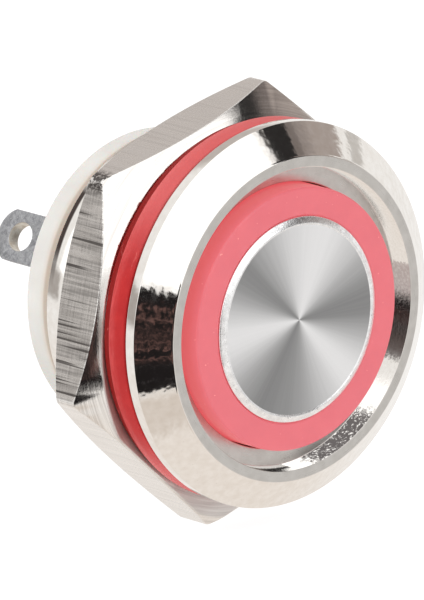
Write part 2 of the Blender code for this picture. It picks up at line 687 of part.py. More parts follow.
def build():
    remove_everything()
    bezel_housing()
    panel_seal()
    nut = hex_nut()
    moving = [light_ring_plunger(), button_cap(), plunger_oring(), plunger_stem(), stem_clip()]
    moving.append(contact_bridge())
    moving.append(rivet("bridge_rivet_common", MOVING_CONTACT_Y, STRIP_Y, STRIP_THICKNESS, 1))
    moving.append(rivet("bridge_rivet_open", MOVING_CONTACT_Y, STRIP_Y, STRIP_THICKNESS, -1))
    return_spring()
    led_board()
    led_chips()
    led_resistor()
    led_leads()
    guide_carrier()
    terminal_base()
    rear_sealant()
    switch_terminal("lug_common", LUG_ANGLE)
    switch_terminal("lug_normally_open", LUG_ANGLE + pi)
    rivet("fixed_rivet_common", FIXED_CONTACT_Y, ARM_Y, ARM_THICKNESS, 1)
    rivet("fixed_rivet_open", FIXED_CONTACT_Y, ARM_Y, ARM_THICKNESS, -1)
    led_pins()
    carried_by("button_slide", (0, CAP_FACE_Y, 0), moving)
    carried_by("nut_slide", (0, NUT_FRONT_Y, 0), [nut])


build()
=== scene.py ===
"""Finished look of the panel push button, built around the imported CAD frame.

The button's axis is Y and its face looks towards -Y. Lengths are in metres.
"""
from math import asin, atan, cos, degrees, pi, radians, sin, sqrt, tan

import bmesh
import bpy
from mathutils import Matrix, Vector


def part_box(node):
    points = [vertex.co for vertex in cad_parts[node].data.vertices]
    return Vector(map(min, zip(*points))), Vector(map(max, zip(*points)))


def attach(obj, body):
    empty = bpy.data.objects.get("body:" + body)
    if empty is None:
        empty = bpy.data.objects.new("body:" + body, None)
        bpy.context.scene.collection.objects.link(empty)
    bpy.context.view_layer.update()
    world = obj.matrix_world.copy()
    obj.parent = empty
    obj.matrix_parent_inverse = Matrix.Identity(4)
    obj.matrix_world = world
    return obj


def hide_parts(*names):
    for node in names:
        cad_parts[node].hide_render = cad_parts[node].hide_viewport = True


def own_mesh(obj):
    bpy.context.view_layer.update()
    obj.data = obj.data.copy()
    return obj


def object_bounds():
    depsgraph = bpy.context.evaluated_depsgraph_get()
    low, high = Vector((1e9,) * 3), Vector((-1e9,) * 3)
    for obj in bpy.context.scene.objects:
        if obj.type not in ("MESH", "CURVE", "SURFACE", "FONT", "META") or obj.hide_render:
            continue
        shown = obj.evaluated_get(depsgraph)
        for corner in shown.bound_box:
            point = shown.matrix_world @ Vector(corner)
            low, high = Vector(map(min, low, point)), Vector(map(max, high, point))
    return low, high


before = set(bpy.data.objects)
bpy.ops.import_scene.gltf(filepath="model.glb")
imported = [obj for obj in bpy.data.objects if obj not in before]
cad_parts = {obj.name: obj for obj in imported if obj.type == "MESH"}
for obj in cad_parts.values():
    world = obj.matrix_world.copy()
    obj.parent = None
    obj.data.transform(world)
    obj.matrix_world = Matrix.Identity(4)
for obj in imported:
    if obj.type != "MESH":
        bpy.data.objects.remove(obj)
cad_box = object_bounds()

MM = 0.001
STEPS = 192

# View: a long lens from the left and a little above
VIEW_AZIMUTH = radians(-41.97)
VIEW_ELEVATION = radians(14.06)
VIEW_DISTANCE = 0.6
VIEW_HEIGHT = 34.26 * MM
AIM_RIGHT = -3.461 * MM
AIM_UP = 0.726 * MM

# Head
RIM_OUTER_R = 9.46 * MM
RIM_INNER_R = 8.82 * MM
RECESS_DEPTH = 1.35 * MM
GUIDE_BORE_R = 7.75 * MM
SHOULDER_Y = 3.0 * MM
COUNTERBORE_R = 8.2 * MM
LIP_DEPTH = 0.70 * MM
THREAD_START_Y = 0.95 * MM
THREAD_END_Y = 7.5 * MM
THREAD_PITCH = 1.0 * MM
THREAD_DEPTH = 0.36 * MM
THREAD_ROOT_R = 9.12 * MM
THREAD_CREST_R = 9.5 * MM
BARREL_CHAMFER = 0.08 * MM

# Seal
SEAL_EDGE_Y = 1.55 * MM

# Nut
NUT_ACROSS_FLATS = 22.4 * MM
NUT_FACE_R = 10.53 * MM
NUT_CHAMFER = radians(29.6)
NUT_FRONT_CHAMFER = radians(31.5)
NUT_FRONT_FACE_R = 11.56 * MM
NUT_FACE_OFFSET = 1.14 * MM
NUT_FACE_OFFSET_ANGLE = radians(145)
NUT_BORE_R = 9.65 * MM
NUT_CORNER_ANGLE = radians(11.9)
NUT_CORNER_FILLET = 0.45 * MM

# Plunger and cap
RING_GROOVE_R = 6.95 * MM
POCKET_R = 6.12 * MM
RING_LIP_R = 6.03 * MM
POCKET_FLOOR_Y = -1.0 * MM
WEB_REAR_Y = 0.3 * MM
SKIRT_R = 6.0 * MM
POST_BORE_R = 1.65 * MM
CAP_FACE_R = 5.62 * MM
CAP_SHOULDER = 0.17 * MM

# Return spring
SPRING_WIRE_R = 0.22 * MM
SPRING_TURNS = 3.5
SPRING_STEPS_PER_TURN = 32
SPRING_SIDES = 12

# Base
BASE_FRONT_Y = 9.1 * MM
BASE_FLOOR_Y = 9.8 * MM
BASE_POCKET_R = 7.0 * MM
BASE_COLLAR_R = 8.0 * MM
BASE_RECESS_R = 8.2 * MM
BASE_RECESS_DEPTH = 0.7 * MM

# Terminals
LUG_ANGLE = radians(-66.2)
LUG_CENTRE_R = 7.3 * MM
LUG_THICKNESS = 0.8 * MM
LUG_HALF_WIDTH = 1.5 * MM
LUG_START_Y = 8.83 * MM
LUG_END_BULGE = 1.0 * MM
LUG_EYE_SETBACK = 1.96 * MM
LUG_EYE_HALF_WIDTH = 0.85 * MM
LUG_EYE_HALF_LENGTH = 0.95 * MM
PIN_CENTRE_R = 4.6 * MM
PIN_THICKNESS = 0.5 * MM
PIN_HALF_WIDTH = 0.8 * MM
PIN_START_Y = 8.75 * MM
PIN_EYE_SETBACK = 0.95 * MM
PIN_EYE_R = 0.4 * MM


# ---------------------------------------------------------------- shader building

def node(tree, kind, inputs=None, **settings):
    """Add a shader node; an input is a number, a colour or another node's socket."""
    made = tree.nodes.new(kind)
    for key, value in settings.items():
        setattr(made, key, value)
    for key, value in (inputs or {}).items():
        if isinstance(value, bpy.types.NodeSocket):
            tree.links.new(value, made.inputs[key])
        else:
            made.inputs[key].default_value = value
    return made


def principled(name, **values):
    """A material with a Principled shader; plain values go straight on its sockets."""
    made = bpy.data.materials.new(name)
    made.use_nodes = True
    tree = made.node_tree
    shader = tree.nodes["Principled BSDF"]
    for key, value in values.items():
        shader.inputs[key.replace("_", " ")].default_value = value
    return made, tree, shader


def calc(tree, operation, *values, clamp=False):
    inputs = {i: v for i, v in enumerate(values)}
    return node(tree, "ShaderNodeMath", inputs, operation=operation, use_clamp=clamp).outputs[0]


def times(tree, *values):
    """Product of numbers and node values."""
    product = values[0]
    for value in values[1:]:
        product = calc(tree, "MULTIPLY", product, value)
    return product


def place_on(tree):
    """Position on the object, in millimetres."""
    place = node(tree, "ShaderNodeTexCoord").outputs["Object"]
    return node(tree, "ShaderNodeVectorMath", {0: place, "Scale": 1 / MM}, operation="SCALE").outputs[0]


def split(tree, vector):
    return node(tree, "ShaderNodeSeparateXYZ", {0: vector}).outputs[:]


def join(tree, x, y, z):
    return node(tree, "ShaderNodeCombineXYZ", {0: x, 1: y, 2: z}).outputs[0]


def stretch(tree, vector, x, y, z):
    return node(tree, "ShaderNodeVectorMath", {0: vector, 1: (x, y, z)}, operation="MULTIPLY").outputs[0]


def around(tree, vector):
    """Angle about Y in radians, distance from Y and height along Y, for a place in millimetres."""
    x, y, z = split(tree, vector)
    angle = calc(tree, "ARCTAN2", x, z)
    radius = calc(tree, "SQRT", calc(tree, "ADD", times(tree, x, x), times(tree, z, z)))
    return angle, radius, y


def noise(tree, vector, scale, detail=2.0, roughness=0.5, distortion=0.0):
    inputs = {"Vector": vector, "Scale": scale, "Detail": detail, "Roughness": roughness}
    inputs["Distortion"] = distortion
    return node(tree, "ShaderNodeTexNoise", inputs).outputs["Fac"]


def remap(tree, value, low, high, to_low=0.0, to_high=1.0, smooth=False):
    kind = "SMOOTHSTEP" if smooth else "LINEAR"
    inputs = {"Value": value, "From Min": low, "From Max": high, "To Min": to_low, "To Max": to_high}
    return node(tree, "ShaderNodeMapRange", inputs, interpolation_type=kind).outputs["Result"]


def blend(tree, factor, first, second):
    """Mix two colours."""
    made = node(tree, "ShaderNodeMix", data_type="RGBA")
    for socket, value in zip((made.inputs[0], made.inputs[6], made.inputs[7]), (factor, first, second)):
        if isinstance(value, bpy.types.NodeSocket):
            tree.links.new(value, socket)
        elif socket == made.inputs[0]:
            socket.default_value = value
        else:
            socket.default_value = (*value, 1.0)
    return made.outputs[2]


def bump(tree, height, depth, normal=None):
    """Bump of a given depth in metres for a height from 0 to 1."""
    inputs = {"Strength": 1.0, "Distance": depth, "Height": height}
    if normal is not None:
        inputs["Normal"] = normal
    return node(tree, "ShaderNodeBump", inputs).outputs[0]


def wire(tree, shader, **sockets):
    for key, socket in sockets.items():
        tree.links.new(socket, shader.inputs[key.replace("_", " ")])


# ---------------------------------------------------------------- metals

def polished_nickel():
    """Bright nickel plate: mirror-like, with turning marks and pits, and a painted dark shade on the barrel's
    end.
    """
    made, tree, shader = principled("polished_nickel", Metallic=1.0)
    place = place_on(tree)
    angle, radius, y = around(tree, place)
    rings = noise(tree, join(tree, times(tree, angle, 1.2), radius, y), 9.0, 3.0, 0.7)
    peel = noise(tree, place, 2.2, 1.0, 0.5)
    grit = noise(tree, place, 16.0, 2.0, 0.7)
    tint = blend(tree, remap(tree, peel, 0.3, 0.7), (0.80, 0.765, 0.72), (0.86, 0.835, 0.80))
    pits = remap(tree, grit, 0.68, 0.74)
    colour = blend(tree, pits, tint, (0.56, 0.52, 0.49))
    # painted shade: a dark crescent on the upper left of the barrel's rear end
    painted_end_shade = times(tree, remap(tree, y, 8.32, 8.42),
                  remap(tree, angle, radians(-82), radians(-66), smooth=True),
                  remap(tree, angle, radians(-40), radians(-46)))
    colour = blend(tree, painted_end_shade, colour, (0.065, 0.05, 0.045))
    rough = calc(tree, "ADD", remap(tree, peel, 0.3, 0.8, 0.03, 0.07), times(tree, pits, 0.15))
    height = bump(tree, peel, 0.005 * MM)
    height = bump(tree, grit, 0.0003 * MM, height)
    wire(tree, shader, Base_Color=colour, Roughness=rough, Normal=bump(tree, rings, 0.0004 * MM, height))
    return made


def turned_nickel():
    """The nut's front: concentric streaks from coarse turning, and a duller flat face."""
    made, tree, shader = principled("turned_nickel", Metallic=1.0)
    place = place_on(tree)
    angle, radius, y = around(tree, place)
    across = calc(tree, "ADD", radius, times(tree, y, 0.6))
    along = times(tree, angle, 1.6)
    marks = noise(tree, join(tree, along, times(tree, across, 5.0), 0.0), 1.0, 3.0, 0.7)
    grit = noise(tree, place, 9.0, 3.0, 0.7)
    colour = blend(tree, remap(tree, marks, 0.35, 0.62), (0.66, 0.63, 0.60), (0.86, 0.835, 0.80))
    colour = blend(tree, remap(tree, grit, 0.62, 0.72, 0.0, 0.4), colour, (0.50, 0.47, 0.44))
    rough = remap(tree, marks, 0.3, 0.7, 0.14, 0.06)
    rough = calc(tree, "ADD", rough, remap(tree, y, 2.36, 2.33, 0.0, 0.40))
    height = bump(tree, grit, 0.002 * MM)
    wire(tree, shader, Base_Color=colour, Roughness=rough, Normal=bump(tree, marks, 0.004 * MM, height))
    return made


def recess_nickel():
    """The polished wall of the recess: it leans to the front, and carries a painted dark reflection low down
    and painted brown and dark reflections at one side.
    """
    made, tree, shader = principled("recess_nickel", Metallic=1.0)
    place = place_on(tree)
    angle, _, y = around(tree, place)
    upper = remap(tree, angle, radians(80), radians(50), smooth=True)
    deep = times(tree, upper, remap(tree, y, -2.0, -0.8, 0.0, radians(22)))
    lean = calc(tree, "ADD", deep, radians(58))
    inwards = times(tree, calc(tree, "COSINE", lean), -1.0)
    turn = calc(tree, "SUBTRACT", angle, radians(12))
    facing = join(tree, times(tree, calc(tree, "SINE", turn), inwards),
                  times(tree, calc(tree, "SINE", lean), -1.0),
                  times(tree, calc(tree, "COSINE", turn), inwards))
    chatter = noise(tree, place, 5.0, 4.0, 0.7)
    ragged = calc(tree, "ADD", angle, remap(tree, chatter, 0.3, 0.7, -0.10, 0.10))
    # painted reflection: a dark speckled patch low down on the wall
    painted_dark_reflection = times(tree, remap(tree, ragged, 2.36, 2.44, smooth=True),
                  remap(tree, ragged, 3.02, 2.90, smooth=True),
                  remap(tree, chatter, 0.66, 0.54))
    colour = blend(tree, remap(tree, chatter, 0.3, 0.7), (0.78, 0.745, 0.70), (0.86, 0.835, 0.80))
    colour = blend(tree, painted_dark_reflection, colour, (0.10, 0.09, 0.088))
    crisp = calc(tree, "ADD", angle, remap(tree, chatter, 0.3, 0.7, -0.025, 0.025))
    # painted reflections at one side: a brown band, and a darker band inside it
    painted_brown_reflection = times(tree, remap(tree, crisp, 1.36, 1.375), remap(tree, crisp, 2.0, 1.95),
                 remap(tree, chatter, 0.62, 0.45, 0.75, 1.0))
    colour = blend(tree, painted_brown_reflection, colour, (0.46, 0.40, 0.385))
    painted_dark_band = times(tree, remap(tree, crisp, 1.68, 1.72), remap(tree, crisp, 2.03, 1.99), 0.8)
    colour = blend(tree, painted_dark_band, colour, (0.13, 0.115, 0.112))
    rough = remap(tree, chatter, 0.3, 0.7, 0.05, 0.12)
    wire(tree, shader, Base_Color=colour, Roughness=rough, Normal=bump(tree, chatter, 0.003 * MM, facing))
    return made


def satin_nickel():
    """The flat faces of the head: finely turned, so reflections blur into a grey-violet sheen."""
    made, tree, shader = principled("satin_nickel", Metallic=1.0)
    place = place_on(tree)
    angle, radius, y = around(tree, place)
    turned_place = join(tree, times(tree, angle, 0.8), times(tree, radius, 3.0), y)
    turning = noise(tree, turned_place, 7.0, 3.0, 0.6)
    cloud = noise(tree, place, 1.5, 2.0, 0.5)
    grain = noise(tree, place, 22.0, 2.0, 0.6)
    colour = blend(tree, remap(tree, cloud, 0.3, 0.7), (0.62, 0.595, 0.56), (0.70, 0.675, 0.64))
    colour = blend(tree, remap(tree, grain, 0.68, 0.76), colour, (0.42, 0.40, 0.38))
    rough = remap(tree, turning, 0.3, 0.7, 0.26, 0.38)
    normal = bump(tree, grain, 0.0016 * MM, bump(tree, turning, 0.003 * MM))
    wire(tree, shader, Base_Color=colour, Roughness=rough, Normal=normal)
    return made


def milled_nickel():
    """The flats of the nut: milled across and rubbed along; one side has far deeper marks than the others,
    and painted shade darkens its hatch, bands and lines.
    """
    made, tree, shader = principled("milled_nickel", Metallic=1.0)
    place = place_on(tree)
    angle, _, y = around(tree, place)
    round_mm = times(tree, angle, 11.0)

    def marks(per_round, per_depth, shift, detail, roughness):
        stretched = join(tree, times(tree, round_mm, per_round), times(tree, y, per_depth), shift)
        return noise(tree, stretched, 1.0, detail, roughness)

    cuts = marks(7.0, 0.14, 0.0, 3.0, 0.65)
    rubs = marks(0.35, 9.0, 3.0, 3.0, 0.7)
    lines = marks(4.6, 0.10, 7.0, 1.0, 0.5)
    bands = marks(0.9, 0.15, 5.0, 3.0, 0.6)
    side = calc(tree, "COSINE", calc(tree, "SUBTRACT", angle, NUT_CORNER_ANGLE - pi / 2))
    # the side whose marks are deeper and carry painted shade
    marks_and_painted_light = remap(tree, side, 0.845, 0.880, 0.10, 1.0, smooth=True)
    hatch = calc(tree, "ADD", times(tree, cuts, 0.65), times(tree, rubs, 0.35))
    # painted shade: dark hatch, bands and lines on that side
    dark = times(tree, marks_and_painted_light, remap(tree, hatch, 0.56, 0.40, 0.0, 0.66))
    colour = blend(tree, dark, (0.84, 0.815, 0.785), (0.16, 0.145, 0.135))
    shade = times(tree, marks_and_painted_light, remap(tree, bands, 0.54, 0.38, 0.0, 0.3))
    colour = blend(tree, shade, colour, (0.26, 0.24, 0.225))
    scored_and_shaded = times(tree, marks_and_painted_light, remap(tree, lines, 0.61, 0.66, 0.0, 0.85))
    colour = blend(tree, scored_and_shaded, colour, (0.09, 0.08, 0.075))
    corner = calc(tree, "ABSOLUTE", calc(tree, "SUBTRACT", angle, NUT_CORNER_ANGLE - pi / 3))
    dents = remap(tree, noise(tree, place, 4.0, 3.0, 0.7), 0.42, 0.52)
    knocks = times(tree, remap(tree, corner, 0.075, 0.03), dents)
    colour = blend(tree, knocks, colour, (0.10, 0.09, 0.085))
    rough = remap(tree, hatch, 0.3, 0.7, 0.34, 0.22)
    height = times(tree, hatch, marks_and_painted_light)
    wire(tree, shader, Base_Color=colour, Roughness=rough, Normal=bump(tree, height, 0.012 * MM))
    return made


PAINTED_SHEEN_FANS = (  # degrees clockwise from the top, lightness
    (0, 0.88), (18, 1.0), (36, 0.87), (54, 0.52), (72, 0.16), (87, 0.03), (99, 0.15), (114, 0.58),
    (132, 1.0), (150, 0.75), (174, 0.27), (207, 0.03), (222, 0.10), (240, 0.41), (254, 0.80), (267, 0.99),
    (277, 0.83), (291, 0.37), (307, 0.05), (321, 0.19), (342, 0.59), (360, 0.88),
)


def spun_face():
    """The cap's face: spun from the centre, with three soft fans of painted sheen in its colour."""
    made, tree, shader = principled("spun_face", Metallic=1.0, Anisotropic=0.5)
    place = place_on(tree)
    angle, radius, _ = around(tree, place)
    turn = calc(tree, "FRACT", calc(tree, "DIVIDE", angle, 2 * pi))
    # painted sheen: light and dark fans drawn into the base colour
    ramp = node(tree, "ShaderNodeValToRGB", {"Fac": turn})
    ramp.color_ramp.interpolation = "CARDINAL"
    for place_at, lightness in PAINTED_SHEEN_FANS[1:-1]:
        ramp.color_ramp.elements.new(place_at / 360)
    for stop, (place_at, lightness) in zip(ramp.color_ramp.elements, PAINTED_SHEEN_FANS):
        stop.color = (lightness, lightness, lightness, 1.0)
    spokes = join(tree, times(tree, angle, 20.0), 0.0, times(tree, radius, 0.05))
    streaks = noise(tree, spokes, 1.0, 3.0, 0.6)
    lightness = calc(tree, "ADD", ramp.outputs[0], remap(tree, streaks, 0.2, 0.8, -0.04, 0.04))
    colour = blend(tree, lightness, (0.305, 0.305, 0.305), (1.0, 1.0, 1.0))
    turning = noise(tree, join(tree, 0.0, times(tree, radius, 30.0), 0.0), 1.0, 2.0, 0.6)
    wire(tree, shader, Base_Color=colour, Normal=bump(tree, turning, 0.0008 * MM))
    shader.inputs["Roughness"].default_value = 0.30
    return made


def turned_steel():
    """The cap's raised lip: bright, with tool chatter that breaks up its reflections."""
    made, tree, shader = principled("turned_steel", Metallic=1.0)
    place = place_on(tree)
    chatter = noise(tree, place, 3.0, 3.0, 0.6)
    nicks = noise(tree, place, 5.5, 3.0, 0.7)
    colour = blend(tree, remap(tree, chatter, 0.3, 0.7), (0.78, 0.78, 0.78), (0.95, 0.95, 0.95))
    colour = blend(tree, remap(tree, nicks, 0.63, 0.72, 0.0, 0.7), colour, (0.24, 0.23, 0.23))
    rough = remap(tree, chatter, 0.3, 0.7, 0.32, 0.16)
    wire(tree, shader, Base_Color=colour, Roughness=rough, Normal=bump(tree, nicks, 0.008 * MM))
    return made


def tinned_brass():
    """Hot-tinned terminals: grey, mottled and slightly lumpy, with a few scratches."""
    made, tree, shader = principled("tinned_brass", Metallic=1.0)
    place = place_on(tree)
    mottle = noise(tree, place, 3.2, 4.0, 0.7, 0.6)
    frost = noise(tree, place, 14.0, 3.0, 0.7)
    scratch = noise(tree, stretch(tree, place, 3.0, 9.0, 3.0), 2.4, 2.0, 0.5)
    colour = blend(tree, remap(tree, mottle, 0.32, 0.68), (0.22, 0.222, 0.235), (0.47, 0.475, 0.49))
    colour = blend(tree, remap(tree, frost, 0.60, 0.70), colour, (0.66, 0.66, 0.66))
    colour = blend(tree, remap(tree, scratch, 0.68, 0.74), colour, (0.22, 0.21, 0.21))
    rough = remap(tree, mottle, 0.3, 0.7, 0.50, 0.32)
    lumps = bump(tree, mottle, 0.03 * MM)
    wire(tree, shader, Base_Color=colour, Roughness=rough, Normal=bump(tree, frost, 0.012 * MM, lumps))
    return made


def tinned_eye():
    """The punched edge inside a terminal's eye, bright where the solder has run."""
    made, tree, shader = principled("tinned_eye", Metallic=0.5)
    place = place_on(tree)
    runs = noise(tree, place, 3.0, 4.0, 0.7)
    colour = blend(tree, remap(tree, runs, 0.35, 0.65), (0.62, 0.55, 0.46), (0.86, 0.84, 0.78))
    rough = remap(tree, runs, 0.3, 0.7, 0.5, 0.3)
    wire(tree, shader, Base_Color=colour, Roughness=rough, Normal=bump(tree, runs, 0.02 * MM))
    return made


def brushed_metal(name, dark, light, roughness):
    """Drawn or stamped metal of the inner pieces, with a fine directional grain."""
    made, tree, shader = principled(name, Metallic=1.0)
    place = place_on(tree)
    grain = noise(tree, stretch(tree, place, 20.0, 2.0, 20.0), 1.0, 3.0, 0.6)
    patina = noise(tree, place, 1.3, 3.0, 0.6)
    colour = blend(tree, remap(tree, patina, 0.3, 0.7), dark, light)
    rough = remap(tree, grain, 0.3, 0.7, roughness - 0.06, roughness + 0.06)
    wire(tree, shader, Base_Color=colour, Roughness=rough, Normal=bump(tree, grain, 0.004 * MM))
    return made


# ---------------------------------------------------------------- plastics and rubber

def red_silicone():
    """Moulded silicone: bloom, a painted highlight along the ridge and a painted highlight streak before it,
    painted shade on the duller rear step, scuffs, and painted sheen away from the middle of its left side.
    """
    made, tree, shader = principled("red_silicone", IOR=1.36, Subsurface_Weight=0.05,
                                    Subsurface_Scale=0.3 * MM)
    place = place_on(tree)
    angle, _, y = around(tree, place)
    bloom = noise(tree, place, 0.9, 3.0, 0.6)
    skin = noise(tree, place, 12.0, 3.0, 0.65)
    rubbed = join(tree, times(tree, angle, 8.0), times(tree, y, 2.2), 0.0)
    scuffs_and_sheen = noise(tree, rubbed, 1.0, 3.0, 0.7, 1.5)
    colour = blend(tree, remap(tree, bloom, 0.3, 0.7), (0.42, 0.014, 0.016), (0.50, 0.022, 0.022))
    # painted shade: the rear step is darker in colour; its specular level is also lowered
    shaded_dull_rear_step = remap(tree, y, 1.56, 1.62)
    colour = blend(tree, shaded_dull_rear_step, colour, (0.26, 0.010, 0.009))
    # painted highlight: a lighter streak before the ridge, broken up by the scuff noise
    marks_and_painted_light = times(tree, remap(tree, y, 0.75, 1.45, smooth=True), remap(tree, scuffs_and_sheen, 0.35, 0.65, 0.2, 0.8),
                 remap(tree, y, 1.58, 1.54))
    colour = blend(tree, marks_and_painted_light, colour, (0.62, 0.075, 0.075))
    # painted sheen: lighter pink on the band, except on the middle of its left side
    painted_sheen = calc(tree, "MAXIMUM", remap(tree, angle, radians(-72), radians(-42), smooth=True),
                 remap(tree, angle, radians(-118), radians(-140), smooth=True))
    painted_sheen = times(tree, painted_sheen, remap(tree, y, 1.54, 1.50, 0.0, 0.5))
    colour = blend(tree, painted_sheen, colour, (0.80, 0.20, 0.20))
    # painted highlight: a pale line along the ridge
    ridge = calc(tree, "ABSOLUTE", calc(tree, "SUBTRACT", y, 1.53))
    colour = blend(tree, remap(tree, ridge, 0.06, 0.02, 0.0, 0.55), colour, (0.78, 0.13, 0.13))
    colour = blend(tree, remap(tree, scuffs_and_sheen, 0.66, 0.76, 0.0, 0.5), colour, (0.80, 0.20, 0.18))
    rough = remap(tree, skin, 0.3, 0.7, 0.40, 0.55)
    wire(tree, shader, Base_Color=colour, Roughness=rough, Normal=bump(tree, skin, 0.006 * MM),
         Specular_IOR_Level=remap(tree, shaded_dull_rear_step, 0.0, 1.0, 0.34, 0.10))
    return made


def lit_plastic():
    """Translucent polycarbonate, tinted through, with a pearly gloss and a painted glow that fills in its
    shade.
    """
    # painted glow: a weak emission fills in the ring's shade
    made, tree, shader = principled("translucent_red_plastic", IOR=1.5, Subsurface_Weight=0.25,
                                    Subsurface_Scale=0.5 * MM, Emission_Strength=0.55)
    place = place_on(tree)
    _, _, y = around(tree, place)
    cloud = noise(tree, place, 0.7, 3.0, 0.6)
    skin = noise(tree, place, 15.0, 2.0, 0.6)
    specks = noise(tree, place, 4.5, 1.0, 0.5)
    colour = blend(tree, remap(tree, cloud, 0.3, 0.7), (0.40, 0.10, 0.12), (0.44, 0.112, 0.13))
    side = remap(tree, y, -2.06, -1.95, smooth=True)
    colour = blend(tree, remap(tree, y, -1.9, -1.2, 0.0, 0.6, smooth=True), colour, (0.46, 0.07, 0.06))
    # painted glow: stronger on the ring's side wall than on its top face
    glow = blend(tree, side, (0.67, 0.104, 0.122), (0.92, 0.145, 0.165))
    colour = blend(tree, remap(tree, specks, 0.77, 0.80, 0.0, 0.7), colour, (0.70, 0.36, 0.30))
    rough = remap(tree, skin, 0.3, 0.7, 0.30, 0.42)
    shader.inputs["Subsurface Radius"].default_value = (1.0, 0.25, 0.2)
    wire(tree, shader, Base_Color=colour, Roughness=rough, Emission_Color=glow,
         Normal=bump(tree, skin, 0.004 * MM))
    return made


def moulded(name, dark, light, roughness, grain_depth=0.01 * MM, **values):
    """Moulded plastic with a slightly cloudy colour and a fine sparked grain."""
    made, tree, shader = principled(name, **values)
    place = place_on(tree)
    cloud = noise(tree, place, 0.6, 3.0, 0.6)
    grain = noise(tree, place, 11.0, 3.0, 0.6)
    colour = blend(tree, remap(tree, cloud, 0.3, 0.7), dark, light)
    colour = blend(tree, remap(tree, grain, 0.70, 0.78, 0.0, 0.35), colour, tuple(0.7 * c for c in dark))
    rough = remap(tree, grain, 0.3, 0.7, roughness - 0.05, roughness + 0.06)
    wire(tree, shader, Base_Color=colour, Roughness=rough, Normal=bump(tree, grain, grain_depth))
    return made


def circuit_board():
    """Solder resist with the copper tracks showing through as a lighter green."""
    made, tree, shader = principled("board_laminate", Coat_Weight=0.3)
    place = place_on(tree)
    _, radius, _ = around(tree, place)
    track = calc(tree, "FRACT", times(tree, radius, 0.9))
    weave = noise(tree, place, 9.0, 2.0, 0.5)
    colour = blend(tree, remap(tree, track, 0.40, 0.46), (0.03, 0.16, 0.07), (0.08, 0.33, 0.15))
    colour = blend(tree, remap(tree, weave, 0.4, 0.8, 0.0, 0.3), colour, (0.02, 0.10, 0.05))
    rough = remap(tree, weave, 0.3, 0.7, 0.35, 0.5)
    wire(tree, shader, Base_Color=colour, Roughness=rough, Normal=bump(tree, weave, 0.004 * MM))
    return made


# ---------------------------------------------------------------- mesh building

def rounded(corners, steps=5):
    """A closed outline of (radius, y) from corners (radius, y, fillet); a fillet of 0 is a sharp corner."""
    points = []
    for i, (r, y, fillet) in enumerate(corners):
        here = Vector((r, y))
        if not fillet:
            points.append(here)
            continue
        before = Vector(corners[i - 1][:2]) - here
        after = Vector(corners[(i + 1) % len(corners)][:2]) - here
        half = before.angle(after) / 2
        reach = min(fillet / tan(half), 0.45 * before.length, 0.45 * after.length)
        before.normalize()
        after.normalize()
        centre = here + (before + after).normalized() * (reach / cos(half))
        first = here + before * reach - centre
        last = here + after * reach - centre
        points += [centre + first.slerp(last, k / steps) * first.length for k in range(steps + 1)]
    return points


def finished(name, bm, *materials):
    """Turn a bmesh into an object with smooth faces whose flats stay flat."""
    bmesh.ops.recalc_face_normals(bm, faces=bm.faces)
    mesh = bpy.data.meshes.new(name)
    bm.to_mesh(mesh)
    bm.free()
    mesh.shade_smooth()
    mesh.set_sharp_from_angle(angle=radians(38))
    for material in materials:
        mesh.materials.append(material)
    made = bpy.data.objects.new(name, mesh)
    bpy.context.scene.collection.objects.link(made)
    normals = made.modifiers.new("normals", "WEIGHTED_NORMAL")
    normals.keep_sharp = True
    return made


def turned(name, section, materials, angles=None, zone=None):
    """A body of revolution about Y; section(angle) gives its closed outline of (radius, y) points.

    zone(radius, y) gives the material index of a face from the middle of its outline edge.
    """
    angles = angles or [2 * pi * j / STEPS for j in range(STEPS)]
    bm = bmesh.new()
    columns = []
    poles = {}
    for angle in angles:
        column = []
        for i, (r, y) in enumerate(section(angle)):
            if r < 1e-9:
                if i not in poles:
                    poles[i] = bm.verts.new((0.0, y, 0.0))
                column.append(poles[i])
            else:
                column.append(bm.verts.new((r * sin(angle), y, r * cos(angle))))
        columns.append(column)
    outline = section(angles[0])
    for j, column in enumerate(columns):
        following = columns[(j + 1) % len(columns)]
        for i in range(len(column)):
            k = (i + 1) % len(column)
            corners = dict.fromkeys((column[i], column[k], following[k], following[i]))
            if len(corners) < 3:
                continue
            face = bm.faces.new(corners)
            if zone:
                (r0, y0), (r1, y1) = outline[i], outline[k]
                face.material_index = zone((r0 + r1) / 2, (y0 + y1) / 2)
    return finished(name, bm, *materials)


def steady(corners, steps=5):
    """A section that is the same at every angle."""
    outline = rounded(corners, steps)
    return lambda angle: outline


def threaded(outline, in_thread, depth, inwards, start, end):
    """A section whose points inside a thread's length follow a helical V groove that fades at both ends."""
    def section(angle):
        points = []
        for r, y in outline:
            if in_thread(r, y):
                turn = (y / THREAD_PITCH - angle / (2 * pi)) % 1.0
                groove = max(0.0, 1.0 - abs(turn - 0.5) / 0.42)
                fade = min(1.0, (y - start) / (0.8 * MM), (end - y) / (0.5 * MM))
                r -= inwards * depth * groove * max(0.0, fade)
            points.append((r, y))
        return points
    return section


def rows(r, y_from, y_to, per_mm=14):
    """Corners along a straight cylinder, close enough together to carry a thread."""
    count = int(abs(y_to - y_from) / MM * per_mm)
    return [(r, y_from + (y_to - y_from) * i / count, 0) for i in range(count + 1)]


def piece(made, body, slot, *nodes):
    """Put a finished piece on its body, in place of the CAD nodes that it stands for."""
    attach(made, body)
    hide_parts(*nodes)
    return made


# ---------------------------------------------------------------- head, seal and nut

